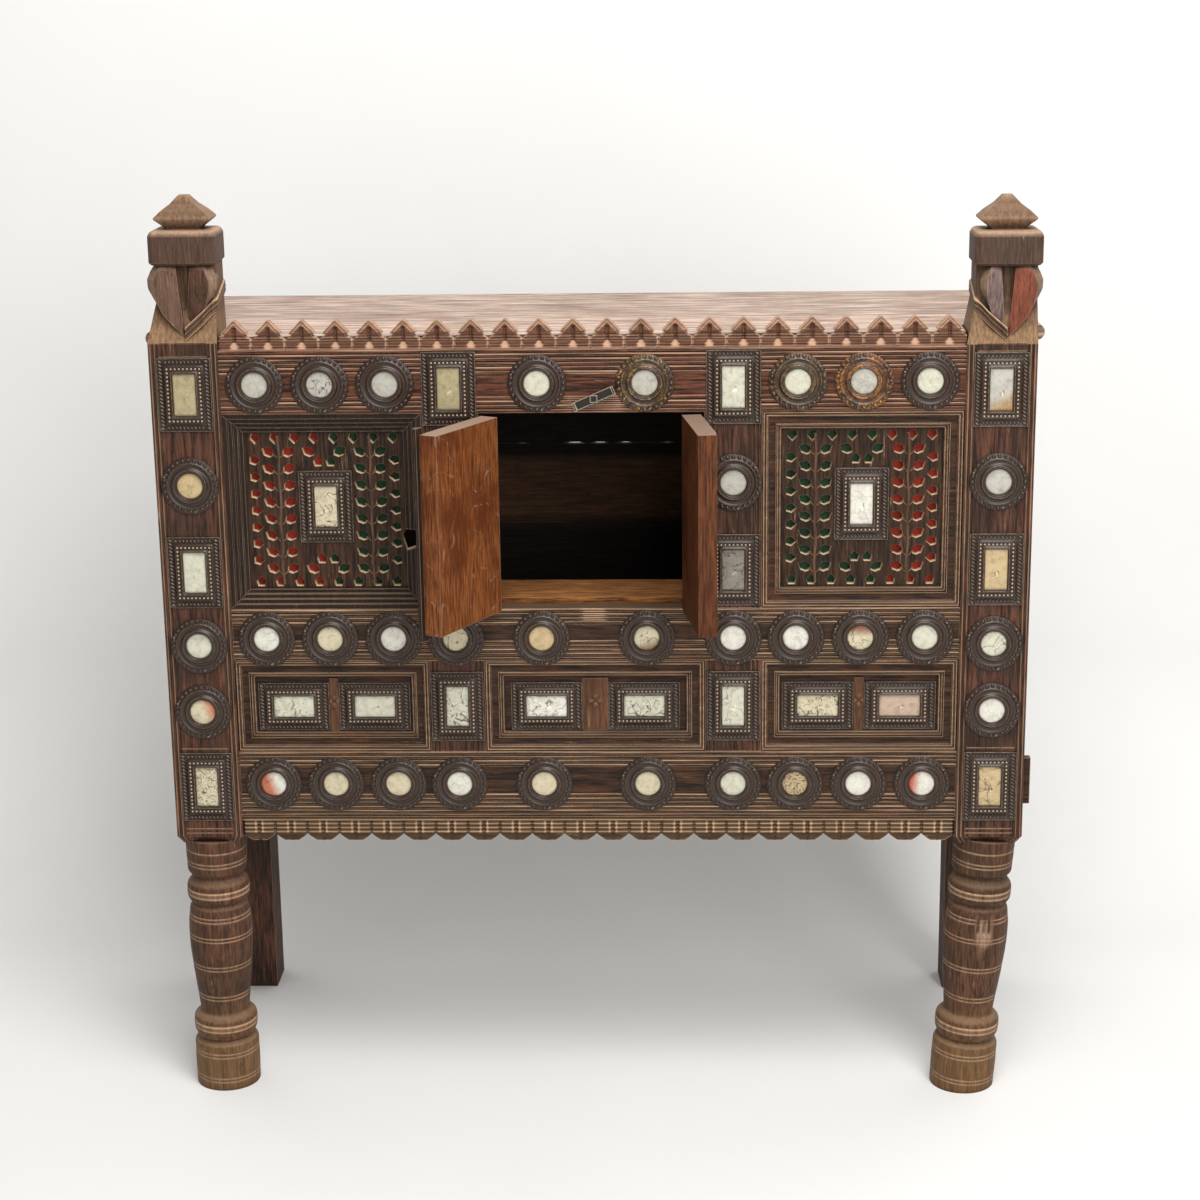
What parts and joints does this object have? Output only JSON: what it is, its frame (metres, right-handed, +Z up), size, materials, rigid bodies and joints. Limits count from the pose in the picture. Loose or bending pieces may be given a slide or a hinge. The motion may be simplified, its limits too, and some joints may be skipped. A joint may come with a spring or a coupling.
{
  "type": "dowry cabinet",
  "caption": "Carved wooden dowry cabinet on turned front legs, with brass mirror plates, pierced jali panels, a pair of small doors and a turn button.",
  "frame": {"origin": "on the floor, under the middle of the box round the whole cabinet with its doors open as they rest", "axes": "+X to the right seen from the front, +Y from the front to the back, +Z up"},
  "size_m": [1.136, 0.5398, 1.19],
  "materials": {
    "dark_wood": "worn oiled",
    "raw_wood": "bare and dry",
    "pale_wood": "bare and dusty",
    "aged_brass": "tarnished",
    "old_mirror": "clouded",
    "red_cloth": "faded",
    "green_cloth": "faded",
    "black_iron": "forged"
  },
  "bodies": {
    "carcass": {"apron_strip": "dark_wood", "back_boards": "raw_wood", "back_bottom_rail": "dark_wood", "back_top_rail": "dark_wood", "backing_sheet_green": "green_cloth", "backing_sheet_red": "red_cloth", "bottom_rail": "dark_wood", "crest_strip": "dark_wood", "door_sill": "raw_wood", "door_stile_left": "dark_wood", "door_stile_right": "dark_wood", "floor_bearer_left": "raw_wood", "floor_bearer_right": "raw_wood", "floor_boards": "raw_wood", "front_post_left": "dark_wood", "front_post_right": "dark_wood", "hinge_frame_flaps": "black_iron", "jali_moulding_left": "dark_wood", "jali_moulding_right": "dark_wood", "jali_panel_left": "dark_wood", "jali_panel_right": "dark_wood", "lower_moulding_left": "dark_wood", "lower_moulding_middle": "dark_wood", "lower_moulding_right": "dark_wood", "lower_muntin_left": "dark_wood", "lower_muntin_right": "dark_wood", "lower_panel_left": "dark_wood", "lower_panel_middle": "dark_wood", "lower_panel_right": "dark_wood", "middle_rail": "dark_wood", "panel_frames": "aged_brass", "panel_panes": "old_mirror", "rear_post_left": "dark_wood", "rear_post_right": "dark_wood", "round_frames": "aged_brass", "round_panes": "old_mirror", "side_boards_left": "raw_wood", "side_boards_right": "raw_wood", "side_bottom_rail_left": "dark_wood", "side_bottom_rail_right": "dark_wood", "side_top_rail_left": "dark_wood", "side_top_rail_right": "dark_wood", "top_board_front": "pale_wood", "top_board_rear": "pale_wood", "top_rail": "dark_wood", "turn_button_nail": "black_iron", "upright_frames": "aged_brass", "upright_panes": "old_mirror"},
    "left_door": {"door_leaf_left": "raw_wood", "meeting_batten": "raw_wood", "hinge_leaf_flaps_left": "black_iron"},
    "right_door": {"door_leaf_right": "raw_wood", "hinge_leaf_flaps_right": "black_iron"},
    "turn_button": {"turn_button": "black_iron"}
  },
  "joints": [
    {"name": "left_door_hinge", "type": "hinge", "parent": "carcass", "child": "left_door", "pos_m": [-0.14025, -0.12859, 0.79375], "axis": [0, 0, 1], "range_deg": [-32.4, 117.6]},
    {"name": "right_door_hinge", "type": "hinge", "parent": "carcass", "child": "right_door", "pos_m": [0.14025, -0.12859, 0.79375], "axis": [0, 0, 1], "range_deg": [-98.2, 51.8]},
    {"name": "turn_button_pivot", "type": "hinge", "parent": "carcass", "child": "turn_button", "pos_m": [0.004, -0.12409, 0.9395], "axis": [0, 1, 0], "range_deg": [-66.7, 113.3]}
  ]
}
